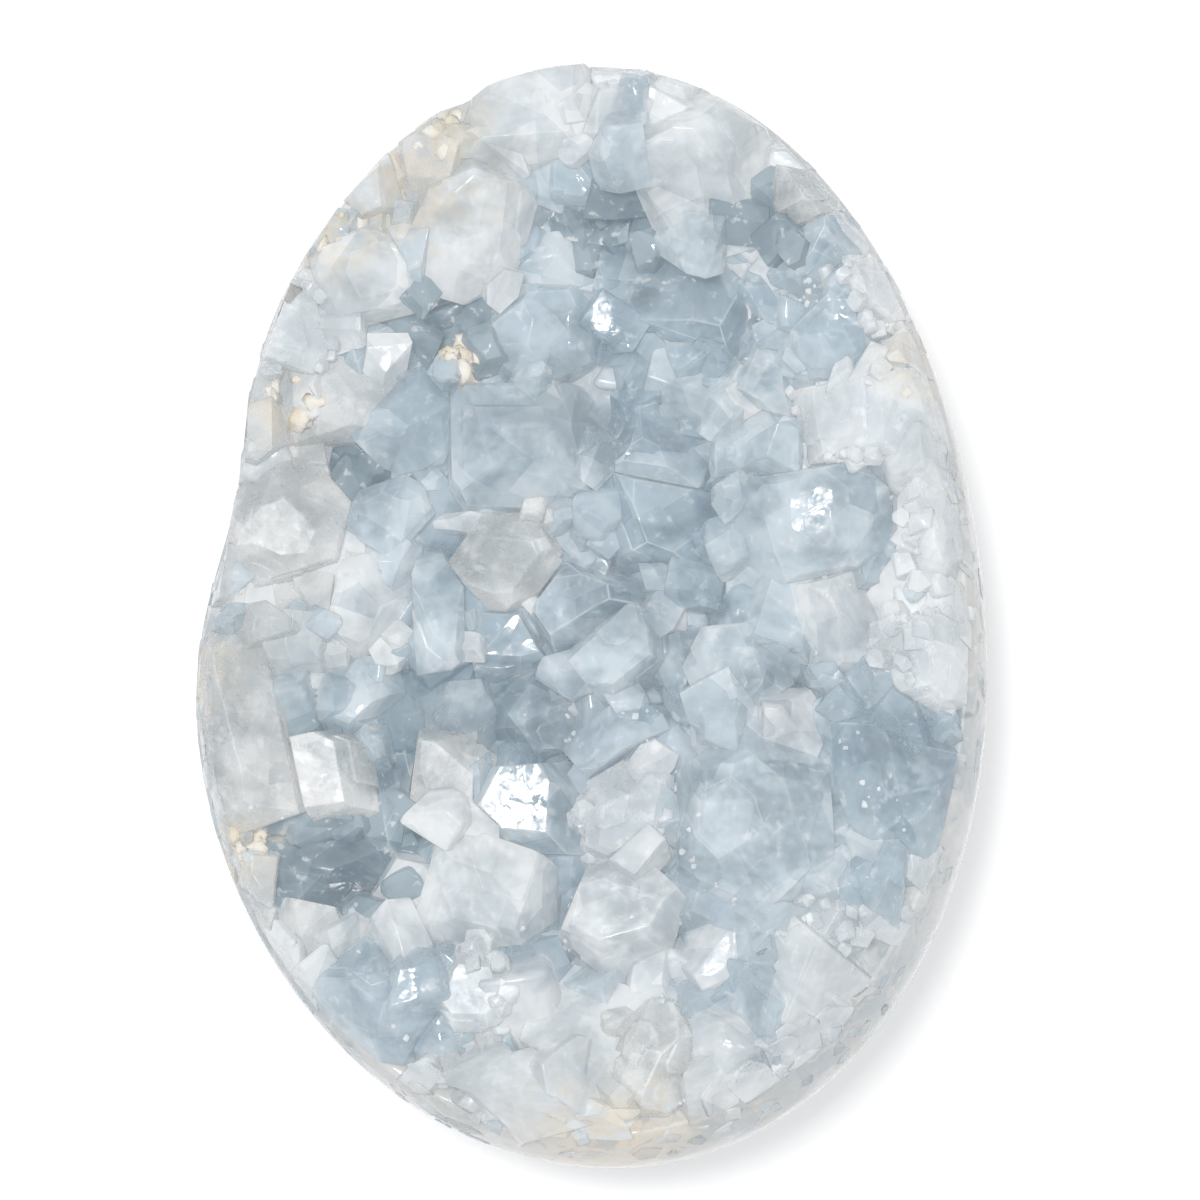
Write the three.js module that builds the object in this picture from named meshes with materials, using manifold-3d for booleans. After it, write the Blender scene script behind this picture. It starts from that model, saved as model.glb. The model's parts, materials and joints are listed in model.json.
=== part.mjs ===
// Celestite geode: an egg-shaped stone, polished outside, its open face lined with blocky pale blue crystals.
// Millimetres, +Z up. The egg lies on its back on a small ground flat, and its crystals face up.
// +Y points to the narrow end of the egg. The origin is on the flat, under the middle of the egg.
import * as THREE from "three";
import { mergeVertices } from "three/addons/utils/BufferGeometryUtils.js";
import Module from "manifold-3d";

const wasm = await Module();
wasm.setup();

// Driving dimensions of the polished egg
const eggLength = 120;
const eggHalfWidth = 43;
const widestAt = -7; // Y of the widest section, below the middle
const backDepth = 37; // from the widest outline down to where the back would end in a point
const flatCut = 1; // depth ground off the back, which leaves the flat that the egg rests on
const frontBulge = 0.75; // height of the front half as a share of a round section
const bluntEndDrift = 2.2; // the blunt end lies this far towards +X
const flankHollow = { depth: 2.4, at: 13, reach: 13 }; // worn hollow in the -X flank
const eggSegments = { round: 44, along: 24 };

// The opening is a slanted plane, higher on the side towards +X and -Y
const rimRise = 5.5; // height of the opening's middle above the widest outline
const rimSlope = { x: 0.116, y: -0.127 };
const lip = { side: 2.6, narrowEnd: 2.6, bluntEnd: 4 }; // from the widest outline in to the edge of the bowl
const bowl = { depth: 15, rings: 7, segments: 44 };

// The crystals that line the bowl
const crystalHeight = { middle: 12.5, rim: 6.5 }; // from the bowl up to the tips
const highestRise = 4;
const hiddenWidth = 0.07; // share that a crystal widens for each millimetre that it stays below the highest
const contactGap = 0.3; // between a crystal and what it stands on or grew against
const facetWobble = 4; // degrees that a facet may lean from its ideal direction
const facetShift = 0.08; // share of its distance that a facet may move in or out
const strayLean = 0.3; // slope that a crystal with no lean of its own may stray from the bowl's normal

const equator = backDepth - flatCut; // height of the widest outline
const farAway = 200;
const degrees = Math.PI / 180;

// Half of the egg's width at a place along its length: one ellipse towards each end
function halfWidthAt(y) {
  const reach = y > widestAt ? eggLength / 2 - widestAt : eggLength / 2 + widestAt;
  const share = Math.min(1, Math.abs(y - widestAt) / reach);
  return eggHalfWidth * Math.sqrt(1 - share * share);
}

function centreLineAt(y) {
  const share = Math.max(0, widestAt - y) / (eggLength / 2 + widestAt);
  return bluntEndDrift * share * share;
}

function hollowAt(y) {
  const share = (y - flankHollow.at) / flankHollow.reach;
  return flankHollow.depth * Math.exp(-share * share);
}

// The bowl follows the egg's outline inside the lip, and levels out into the lip
function bowlReach(y) {
  return y > widestAt ? eggLength / 2 - widestAt - lip.narrowEnd : eggLength / 2 + widestAt - lip.bluntEnd;
}

function bowlShare(x, y) {
  const across = (x - centreLineAt(y)) / (eggHalfWidth - lip.side);
  return Math.min(1, Math.hypot(across, (y - widestAt) / bowlReach(y)));
}

function openingHeight(x, y) {
  return equator + rimRise + rimSlope.x * x + rimSlope.y * y;
}

function bowlHeight(x, y) {
  const share = bowlShare(x, y);
  return openingHeight(x, y) - bowl.depth * (1 - share * share);
}

function bowlNormal(x, y) {
  const step = 0.5;
  const slopeX = (bowlHeight(x + step, y) - bowlHeight(x - step, y)) / (2 * step);
  const slopeY = (bowlHeight(x, y + step) - bowlHeight(x, y - step)) / (2 * step);
  return new THREE.Vector3(-slopeX, -slopeY, 1).normalize();
}

function solidFrom(geometry) {
  geometry.deleteAttribute("normal");
  geometry.deleteAttribute("uv");
  const merged = mergeVertices(geometry, 1e-4);
  return new wasm.Manifold(
    new wasm.Mesh({
      numProp: 3,
      vertProperties: merged.attributes.position.array,
      triVerts: new Uint32Array(merged.index.array),
    }),
  );
}

function geometryFrom(solid) {
  const { vertProperties, triVerts } = solid.getMesh();
  const geometry = new THREE.BufferGeometry();
  geometry.setAttribute("position", new THREE.BufferAttribute(vertProperties, 3));
  geometry.setIndex(new THREE.BufferAttribute(triVerts, 1));
  geometry.computeVertexNormals();
  return geometry;
}

// Keeps the side of the plane that its normal points away from
function cutOff(solid, normal, distance) {
  return solid.trimByPlane([-normal.x, -normal.y, -normal.z], -distance);
}

// The whole egg, turned about its length, with a flatter back and front
function wholeEgg() {
  const profile = [];
  for (let i = 0; i <= eggSegments.along; i++) {
    const y = (-eggLength / 2) * Math.cos((Math.PI * i) / eggSegments.along);
    profile.push(new THREE.Vector2(halfWidthAt(y), y));
  }
  const egg = new THREE.LatheGeometry(profile, eggSegments.round);
  const place = egg.attributes.position;
  for (let i = 0; i < place.count; i++) {
    const [x, y, z] = [place.getX(i), place.getY(i), place.getZ(i)];
    const half = Math.max(halfWidthAt(y), 1e-6);
    const side = x < 0 ? Math.max(0, 1 - hollowAt(y) / half) : 1;
    const bulge = z > 0 ? frontBulge : backDepth / eggHalfWidth;
    place.setXYZ(i, centreLineAt(y) + x * side, y, equator + z * bulge);
  }
  return solidFrom(egg);
}

// What is missing from the egg: the bowl and everything in front of the opening
function hollow() {
  const profile = [];
  for (let i = 0; i <= bowl.rings; i++) {
    const share = i / bowl.rings;
    profile.push(new THREE.Vector2(share, -bowl.depth * (1 - share * share)));
  }
  const outside = 1.6;
  profile.push(new THREE.Vector2(outside, 0));
  profile.push(new THREE.Vector2(outside, eggLength));
  profile.push(new THREE.Vector2(0, eggLength));
  const shape = new THREE.LatheGeometry(profile, bowl.segments);
  shape.rotateX(Math.PI / 2);
  const place = shape.attributes.position;
  for (let i = 0; i < place.count; i++) {
    const y = widestAt + place.getY(i) * bowlReach(widestAt + place.getY(i));
    const x = centreLineAt(y) + place.getX(i) * (eggHalfWidth - lip.side);
    place.setXYZ(i, x, y, openingHeight(x, y) + place.getZ(i));
  }
  return solidFrom(shape);
}

// Facets of the crystal habits, in a crystal's own axes: u along its length, v across, w up to the tip at its
// origin. A facet is a direction and its distance from the tip.
function facet(u, v, w, distance) {
  const length = Math.hypot(u, v, w);
  return { u: u / length, v: v / length, w: w / length, distance };
}

// A facet that leans up by some degrees and passes through a point that far from the axis
function crownFacet(around, steepness, reach) {
  const [out, up] = [Math.sin(steepness * degrees), Math.cos(steepness * degrees)];
  return facet(out * Math.cos(around * degrees), out * Math.sin(around * degrees), up, out * reach);
}

function sideFacet(around, distance) {
  return facet(Math.cos(around * degrees), Math.sin(around * degrees), 0, distance);
}

const prismSides = (a, b) => [sideFacet(0, a), sideFacet(90, b), sideFacet(180, a), sideFacet(270, b)];
const hexagonSides = (a, b) => [
  ...[90, 270].map((around) => sideFacet(around, b)),
  ...[35, 145, 215, 325].map((around) => sideFacet(around, a * 0.86)),
];

const habits = {
  // Right-angled block: a nearly level top, one broad slope and two blunted corners
  block: (a, b) => [
    ...prismSides(a, b),
    sideFacet(45, 0.84 * Math.hypot(a, b)),
    sideFacet(215, 0.88 * Math.hypot(a, b)),
    crownFacet(70, 8, 0),
    crownFacet(0, 52, 0.42 * a),
    crownFacet(180, 38, 0.8 * a),
    crownFacet(270, 54, 0.55 * b),
    crownFacet(90, 45, 0.86 * b),
    crownFacet(225, 42, 0.7 * Math.hypot(a, b)),
  ],
  // Chisel edge along the length
  roof: (a, b) => [
    ...prismSides(a, b),
    crownFacet(90, 34, 0.1 * b),
    crownFacet(270, 48, 0.1 * b),
    crownFacet(0, 58, 0.6 * a),
    crownFacet(180, 52, 0.7 * a),
    crownFacet(140, 40, 0.6 * a),
  ],
  // Six-sided, with a broad tilted top
  hexagon: (a, b) => [
    ...hexagonSides(a, b),
    crownFacet(110, 9, 0),
    crownFacet(90, 50, 0.62 * b),
    crownFacet(270, 40, 0.6 * b),
    crownFacet(35, 46, 0.66 * a),
    crownFacet(145, 52, 0.6 * a),
    crownFacet(215, 44, 0.7 * a),
    crownFacet(325, 50, 0.5 * a),
  ],
  // Six-sided, ending in a point
  point: (a, b) => [
    ...hexagonSides(a, b),
    ...[20, 100, 160, 230, 300].map((around) => crownFacet(around, 50, 0.04 * a)),
  ],
  // Rounded by many narrow facets
  lens: (a, b) => [
    ...prismSides(a, b),
    ...[40, 140, 220, 320].map((around) => sideFacet(around, 0.78 * Math.hypot(a, b))),
    crownFacet(30, 6, 0),
    ...[10, 80, 150, 200, 270, 330].map((around) => crownFacet(around, 24, 0.35 * Math.min(a, b))),
    ...[0, 45, 90, 135, 180, 225, 270, 315].map((around) => {
      const [along, across] = [Math.cos(around * degrees), Math.sin(around * degrees)];
      return crownFacet(around, 54, 0.72 * Math.hypot(a * along, b * across));
    }),
  ],
};

// Every crystal that stands out of the lining, by habit: where its top is, its length and width there, the
// degrees that its length is turned from +X, how far its tip rises above the general level, and its tone.
// A lean is the slope of its axis towards +X and +Y.
const crystals = {
  block: {
    crown: { at: [-6, 54.5], size: [15, 9], turn: 8, lean: [-0.1, 0.1], rise: 1, tone: "pale" },
    brow: { at: [3.5, 52], size: [7.5, 7], turn: -20, lean: [0.1, -0.3], rise: 2, tone: "pale" },
    brow_step: { at: [-0.5, 47.4], size: [7, 6], turn: -5, rise: 0.4, tone: "mid" },
    deep_well: { at: [1.5, 41.5], size: [8, 8], turn: 0, rise: -2.6, tone: "deep" },
    great_brow: { at: [12, 46], size: [13.5, 13], turn: 28, lean: [0, -0.5], rise: 3, tone: "pale" },
    shoulder_stub: { at: [21.5, 46], size: [7, 6.5], turn: 20, rise: 2, tone: "warm" },
    shoulder_white: { at: [30.8, 35], size: [7, 6.5], turn: 20, rise: 2, tone: "frost" },
    upper_left: { at: [-22.6, 35.8], size: [12.5, 9.5], turn: 16, lean: [0.15, -0.3], rise: 2, tone: "pale" },
    far_left: { at: [-29.8, 32], size: [9, 8], turn: 70, rise: 1, tone: "frost" },
    cave: { at: [-14.5, 30.5], size: [9, 7], turn: 10, rise: -3.6, tone: "deep" },
    notched: { at: [-23.6, 27.4], size: [8, 7], turn: 0, rise: -0.4, tone: "mid" },
    tall_block: { at: [-6, 19], size: [16, 12], turn: 4, lean: [0.12, 0.2], rise: 3.2, tone: "pale" },
    right_blue: { at: [16, 31], size: [9, 9], turn: 40, rise: 0, tone: "deep" },
    right_pale: { at: [28, 20], size: [13, 9.5], turn: 10, rise: 2, tone: "frost" },
    right_small: { at: [16, 16.5], size: [7.5, 7], turn: 30, rise: 0.4, tone: "pale" },
    right_rim: { at: [36, 10], size: [13, 8], turn: 95, rise: 1.6, tone: "frost" },
    diamond_foot: { at: [-7.5, -3.4], size: [8, 6], turn: -10, rise: -0.6, tone: "deep" },
    right_block: { at: [35, -4.8], size: [11, 9], turn: 15, rise: 2, tone: "frost" },
    left_mass: { at: [-31.5, -1.8], size: [10, 9], turn: 0, rise: 1.2, tone: "pale" },
    upright_plate: { at: [-16.4, 1.5], size: [12, 4.5], turn: 95, lean: [0.05, 0.1], rise: 2, tone: "pale" },
    right_lower: { at: [33.5, -29.5], size: [12, 8.5], turn: 62, lean: [-0.25, 0.1], rise: 1, tone: "mid" },
    left_lower: { at: [-27, -8], size: [9, 8], turn: -10, rise: 0.4, tone: "mid" },
    cream_block: { at: [-29, -17.5], size: [8.5, 8], turn: 10, lean: [0, 0.1], rise: 0.6, tone: "warm" },
    dark_upright: { at: [-20.8, -17.5], size: [11, 6], turn: 95, rise: -3, tone: "deep" },
    flat_face: { at: [-14, -16.8], size: [11.5, 8.5], turn: 85, lean: [0, 0.2], rise: 1.4, tone: "warm" },
    mirror_face: { at: [-7, -20.5], size: [10, 8.5], turn: 0, lean: [-0.05, 0.05], rise: 2, tone: "pale" },
    lower_left: { at: [-10.5, -30], size: [14, 11], turn: -15, lean: [0.1, 0.15], rise: 2.4, tone: "pale" },
    lower_blue: { at: [-21, -38], size: [10.5, 10], turn: 50, rise: 1.4, tone: "mid" },
  },
  roof: {
    shoulder_long: { at: [24, 38.6], size: [16, 10], turn: 33, rise: 1.4, tone: "mid" },
    left_recess: { at: [-26, 14], size: [10, 8], turn: 60, rise: -4, tone: "deep" },
    upper_blue: { at: [8.5, 32], size: [14, 9.5], turn: -10, lean: [-0.1, -0.25], rise: 0.6, tone: "deep" },
    middle_wedge: { at: [8, 24], size: [10, 7.5], turn: 20, rise: -0.6, tone: "deep" },
    right_chisel: { at: [18, 23.5], size: [11, 9], turn: -30, rise: 0.4, tone: "pale" },
    white_edge: { at: [8.5, 16.8], size: [9.5, 8], turn: -15, lean: [0.3, 0.1], rise: 1.2, tone: "mid" },
    dark_wedge: { at: [6.2, 8], size: [17, 10], turn: -18, lean: [0.1, -0.25], rise: 2.2, tone: "deep" },
    blue_diamond: { at: [-1.2, 0.2], size: [11, 10.5], turn: 35, lean: [0, -0.25], rise: 1.8, tone: "mid" },
    pale_wedge: { at: [4.5, -5.4], size: [9.5, 7.5], turn: 42, lean: [0.15, -0.2], rise: 1.6, tone: "pale" },
    right_wedge: { at: [27, -1.5], size: [10.5, 8], turn: 100, lean: [-0.1, -0.25], rise: 2, tone: "pale" },
    right_deep: { at: [32, -16.5], size: [15, 12], turn: 110, lean: [-0.3, 0.1], rise: 1.6, tone: "deep" },
    leaf: { at: [-39, -11.5], size: [21, 8.5], turn: 108, lean: [-0.2, 0], rise: 3, tone: "warm" },
    dark_hollow: { at: [-26.5, -26.5], size: [11, 9], turn: 20, lean: [0.3, 0.3], rise: -2.2, tone: "deep" },
  },
  hexagon: {
    left_hexagon: { at: [-19.8, 20.7], size: [11.5, 9.5], turn: 10, lean: [0, -0.1], rise: 3, tone: "mid" },
    middle_pale: { at: [-9.5, 5.6], size: [11, 9.5], turn: 0, lean: [-0.1, -0.15], rise: 2.4, tone: "warm" },
    oval: { at: [15.4, -6], size: [11.5, 10.8], turn: 60, lean: [-0.1, 0.1], rise: 3, tone: "pale" },
    left_inner: { at: [-23, 1], size: [9.5, 9], turn: 15, rise: 1, tone: "pale" },
    great_hexagon: { at: [17.8, -21.7], size: [22, 17], turn: 90, lean: [0, 0.06], rise: 4, tone: "pale" },
    granular: { at: [4, -21], size: [11, 10.5], turn: 30, rise: 2, tone: "frost" },
    lower_middle: { at: [3.5, -31.5], size: [13, 11], turn: 15, lean: [0, 0.2], rise: 2.2, tone: "pale" },
    white_hexagon: { at: [-12.4, -40], size: [9, 8], turn: 0, lean: [0, 0.1], rise: 2.6, tone: "frost" },
  },
  point: {
    fang: { at: [26.5, -34], size: [9, 7], turn: -35, lean: [0.1, 0], rise: 2, tone: "frost" },
    clear_knot: { at: [-7, -10.8], size: [8.5, 8], turn: 20, rise: 0.6, tone: "mid" },
  },
  lens: {
    tumbled: { at: [-12.7, 39.5], size: [14, 11.5], turn: 75, lean: [0.12, -0.45], rise: 3.6, tone: "pale" },
    dome: { at: [-5, 29.5], size: [11, 10.5], turn: 0, lean: [0, -0.1], rise: 2.2, tone: "mid" },
    fan: { at: [26.2, 29], size: [10.5, 9], turn: 0, rise: 1.4, tone: "mid" },
    right_lens: { at: [23.3, 9.8], size: [16.5, 12], turn: 12, lean: [-0.1, -0.1], rise: 4, tone: "pale" },
    left_ring: { at: [-21.6, 9.2], size: [8.5, 8], turn: 20, rise: 1, tone: "pale" },
    left_round: { at: [-33, 8.6], size: [14, 11], turn: 80, lean: [0, 0], rise: 2, tone: "warm" },
    round_back: { at: [3.5, -13], size: [12, 8.5], turn: -10, rise: 1, tone: "mid" },
    grey_drop: { at: [7, -45.5], size: [10, 7], turn: 85, rise: 1.4, tone: "warm" },
  },
};

const stray = (reach) => reach * (2 * THREE.MathUtils.seededRandom() - 1);

// A crystal's axes: w is the way it grew, and u runs the way it is turned
function axesOf({ at, turn, lean }) {
  const w = bowlNormal(...at);
  if (lean) w.set(...lean, 1);
  else w.add(new THREE.Vector3(stray(strayLean), stray(strayLean), 0));
  w.normalize();
  const u = new THREE.Vector3(Math.cos(turn * degrees), Math.sin(turn * degrees), 0);
  u.addScaledVector(w, -u.dot(w)).normalize();
  return { u, v: w.clone().cross(u), w };
}

function tipOf({ at: [x, y], rise }) {
  const share = bowlShare(x, y);
  const height = THREE.MathUtils.lerp(crystalHeight.middle, crystalHeight.rim, share * share);
  return new THREE.Vector3(x, y, bowlHeight(x, y) + height + rise);
}

// Facets of one crystal where it stands, each a little off its ideal place, as grown faces are
function facetsOf(crystal) {
  const { u, v, w } = axesOf(crystal);
  const tip = tipOf(crystal);
  const spread = 1 + hiddenWidth * (highestRise - crystal.rise);
  const [a, b] = crystal.size.map((length) => (spread * length) / 2);
  return crystal.habit(a, b).map((ideal) => {
    const normal = new THREE.Vector3()
      .addScaledVector(u, ideal.u + stray(facetWobble * degrees))
      .addScaledVector(v, ideal.v + stray(facetWobble * degrees))
      .addScaledVector(w, ideal.w)
      .normalize();
    return { normal, distance: normal.dot(tip) + ideal.distance * (1 + stray(facetShift)) };
  });
}

// The plane that a crystal stands on: just above the bowl everywhere under the crystal
function rootOf(crystal, facets) {
  const reach = 1.5 * Math.max(...crystal.size);
  const [x0, y0] = crystal.at;
  const up = bowlNormal(x0, y0);
  let highest = -Infinity;
  for (let x = x0 - reach; x <= x0 + reach; x += 1) {
    for (let y = y0 - reach; y <= y0 + reach; y += 1) {
      const place = new THREE.Vector3(x, y, bowlHeight(x, y));
      if (facets.every(({ normal, distance }) => normal.dot(place) < distance + 1)) {
        highest = Math.max(highest, up.dot(place));
      }
    }
  }
  return { normal: up.negate(), distance: -(highest + contactGap) };
}

// A crystal stops against the face of an earlier one that takes the least off it
function growAgainst(solid, earlier) {
  let best = null;
  for (const { normal, distance } of earlier.facets) {
    const rest = cutOff(solid, normal.clone().negate(), -(distance + contactGap));
    if (!best || rest.volume() > best.volume()) best = rest;
  }
  return best;
}

const egg = cutOff(wholeEgg(), new THREE.Vector3(0, 0, -1), 0);
const polishedWall = egg.subtract(hollow());

// The crystals that rise highest keep their whole form, and each later one gives way to those before it
THREE.MathUtils.seededRandom(11);
const listed = Object.entries(crystals).flatMap(([habit, rows]) =>
  Object.entries(rows).map(([name, row]) => ({ ...row, name, habit: habits[habit] })),
);
const grown = [];
for (const crystal of listed.toSorted((one, other) => other.rise - one.rise)) {
  const facets = facetsOf(crystal);
  facets.push(rootOf(crystal, facets));
  let solid = solidFrom(new THREE.BoxGeometry(farAway, farAway, farAway));
  for (const { normal, distance } of facets) solid = cutOff(solid, normal, distance);
  solid = solid.intersect(egg);
  for (const earlier of grown) {
    if (solid.intersect(earlier.solid).volume() > 0) solid = growAgainst(solid, earlier);
  }
  grown.push({ ...crystal, facets, solid });
}

const finishes = {
  wall: { color: 0xd8d6d0, roughness: 0.3, metalness: 0 },
  pale: { color: 0xc9d3db, roughness: 0.15, metalness: 0 },
  mid: { color: 0xa9bac6, roughness: 0.12, metalness: 0 },
  deep: { color: 0x8ea2b0, roughness: 0.12, metalness: 0 },
  frost: { color: 0xdfe4e8, roughness: 0.35, metalness: 0 },
  warm: { color: 0xcfcdc6, roughness: 0.2, metalness: 0 },
};

const geode = new THREE.Group();
function addPiece(name, solid, finish) {
  const piece = new THREE.Mesh(geometryFrom(solid), new THREE.MeshStandardMaterial(finishes[finish]));
  piece.name = name;
  geode.add(piece);
}

addPiece("polished_wall", polishedWall, "wall");
for (const { name, solid, tone } of grown) addPiece(`${name}_crystal`, solid, tone);

export default geode;
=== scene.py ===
import itertools
import json
import math
import random

import bmesh
import bpy
import numpy as np
from mathutils import Matrix, Vector, noise
from mathutils.bvhtree import BVHTree


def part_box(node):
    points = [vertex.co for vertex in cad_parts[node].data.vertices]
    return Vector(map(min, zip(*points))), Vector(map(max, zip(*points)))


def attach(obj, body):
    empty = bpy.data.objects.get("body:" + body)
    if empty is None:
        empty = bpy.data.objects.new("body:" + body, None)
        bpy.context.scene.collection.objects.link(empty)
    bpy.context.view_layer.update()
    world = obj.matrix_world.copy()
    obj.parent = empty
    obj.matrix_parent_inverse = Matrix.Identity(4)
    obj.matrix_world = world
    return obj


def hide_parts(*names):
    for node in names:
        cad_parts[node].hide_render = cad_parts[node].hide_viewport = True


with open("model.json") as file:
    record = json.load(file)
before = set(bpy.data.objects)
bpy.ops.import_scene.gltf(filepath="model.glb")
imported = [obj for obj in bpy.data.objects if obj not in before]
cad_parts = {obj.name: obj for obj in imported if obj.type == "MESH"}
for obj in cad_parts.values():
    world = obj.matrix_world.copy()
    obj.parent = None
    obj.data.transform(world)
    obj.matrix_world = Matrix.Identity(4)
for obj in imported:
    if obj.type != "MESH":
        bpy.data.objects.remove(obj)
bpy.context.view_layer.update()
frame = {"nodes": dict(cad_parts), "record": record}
mm = 0.001
print("frame loaded:", len(frame["nodes"]), "nodes")

# the polished egg and its opening, as the frame has them, in millimetres
egg = {
    "length": 120, "halfWidth": 43, "widestAt": -7, "backDepth": 37, "flatCut": 1, "frontBulge": 0.75,
    "bluntDrift": 2.2, "hollowDepth": 2.4, "hollowAt": 13, "hollowReach": 13,
}
opening = {"rise": 5.5, "slopeX": 0.116, "slopeY": -0.127, "lip": 2.6, "bluntLip": 4, "depth": 15}
equator = egg["backDepth"] - egg["flatCut"]
narrowReach = egg["length"] / 2 - egg["widestAt"]
bluntReach = egg["length"] / 2 + egg["widestAt"]

# the photograph's frame: pixels to a millimetre, and the pixel of the egg's origin
photo = {"side": 1200, "scale": 9.2, "origin": (591, 615)}


def atPixel(across, down):
    return (across - photo["origin"][0]) / photo["scale"], (photo["origin"][1] - down) / photo["scale"]


# 0 at the egg's widest line to 1 at its ends
def endShare(y):
    return np.abs(y - egg["widestAt"]) / np.where(y > egg["widestAt"], narrowReach, bluntReach)


def halfWidthAt(y):
    return egg["halfWidth"] * np.sqrt(1 - np.minimum(1, endShare(y)) ** 2)


def centreLineAt(y):
    return egg["bluntDrift"] * (np.maximum(0, egg["widestAt"] - y) / bluntReach) ** 2


# 1 on the egg's surface, less inside
def eggFullness(x, y, z):
    half = np.maximum(halfWidthAt(y), 0.01)
    across = x - centreLineAt(y)
    hollow = egg["hollowDepth"] * np.exp(-((y - egg["hollowAt"]) / egg["hollowReach"]) ** 2)
    side = np.where(across < 0, np.maximum(0.05, 1 - hollow / half), 1)
    bulge = np.where(z > equator, egg["frontBulge"], egg["backDepth"] / egg["halfWidth"])
    return np.hypot(across / (side * half), (z - equator) / (bulge * half))


# the whole stone was ground to the egg, so whatever stands out of it is drawn back towards the egg's middle
ground = {"large": 0.998, "small": 0.997, "matrix": 0.99, "veils": 0.97, "endMargin": 0.5, "endRound": 0.015}


def groundToEgg(points, limit):
    x, y, z = points.T
    along, up, across = y - egg["widestAt"], z - equator, x - centreLineAt(y)
    share, farthest = endShare(y), egg["length"] / 2 - ground["endMargin"]
    fullness = eggFullness(x, np.clip(y, -farthest, farthest), z)
    fullness = np.sqrt(share ** 2 + fullness ** 2 * np.maximum(1 - share ** 2, ground["endRound"]))
    shrink = np.minimum(1, limit / np.maximum(fullness, 1e-6))
    y = egg["widestAt"] + along * shrink
    return np.stack([centreLineAt(y) + across * shrink, y, np.maximum(0.01, equator + up * shrink)], 1)


def bowlShare(x, y):
    reach = np.where(y > egg["widestAt"], narrowReach - opening["lip"], bluntReach - opening["bluntLip"])
    across = (x - centreLineAt(y)) / (egg["halfWidth"] - opening["lip"])
    return np.minimum(1, np.hypot(across, (y - egg["widestAt"]) / reach))


def rimLevel(x, y):
    return equator + opening["rise"] + opening["slopeX"] * x + opening["slopeY"] * y


def bowlHeight(x, y):
    return rimLevel(x, y) - opening["depth"] * (1 - bowlShare(x, y) ** 2)


# sRGB as a picture shows it, to the linear colour that sockets take
def paint(red, green, blue):
    return tuple(((c / 255 + 0.055) / 1.055) ** 2.4 for c in (red, green, blue)) + (1,)


class Wire:  # a socket that takes part in sums
    def __init__(self, finish, socket):
        self.finish = finish
        self.socket = socket

    def sum(self, operation, first, second):
        return self.finish.node("Math", {"operation": operation}, {0: first, 1: second})

    def __add__(self, other):
        return self.sum("ADD", self, other)

    def __sub__(self, other):
        return self.sum("SUBTRACT", self, other)

    def __rsub__(self, other):
        return self.sum("SUBTRACT", other, self)

    def __mul__(self, other):
        return self.sum("MULTIPLY", self, other)

    __radd__ = __add__
    __rmul__ = __mul__


class Finish:  # a node tree being wired, a material's unless another is given
    def __init__(self, name, tree=None):
        if tree is None:
            self.material = bpy.data.materials.new(name)
            self.material.use_nodes = True
            tree = self.material.node_tree
        self.tree = tree
        self.tree.nodes.clear()

    def node(self, kind, settings=None, sockets=None, out=0):
        made = self.tree.nodes.new("ShaderNode" + kind)
        for key, value in (settings or {}).items():
            setattr(made, key, value)
        for key, value in (sockets or {}).items():
            if isinstance(value, Wire):
                self.tree.links.new(value.socket, made.inputs[key])
            else:
                made.inputs[key].default_value = value
        return Wire(self, made.outputs[out]) if made.outputs else None

    def place(self):
        return self.node("TexCoord", out="Object")

    def noise(self, place, scale, detail=4, rough=0.55, bend=0):
        sockets = {"Vector": place, "Scale": scale, "Detail": detail, "Roughness": rough, "Distortion": bend}
        return self.node("TexNoise", {}, sockets)

    def ramp(self, value, low, high, start=0, end=1):
        sockets = {"Value": value, "From Min": low, "From Max": high, "To Min": start, "To Max": end}
        return self.node("MapRange", {"interpolation_type": "SMOOTHSTEP"}, sockets)

    def blend(self, share, first, second):
        return self.node("Mix", {"data_type": "RGBA"}, {0: share, 6: first, 7: second}, out=2)

    def bump(self, height, strength, distance):
        return self.node("Bump", {}, {"Height": height, "Strength": strength, "Distance": distance})


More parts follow.
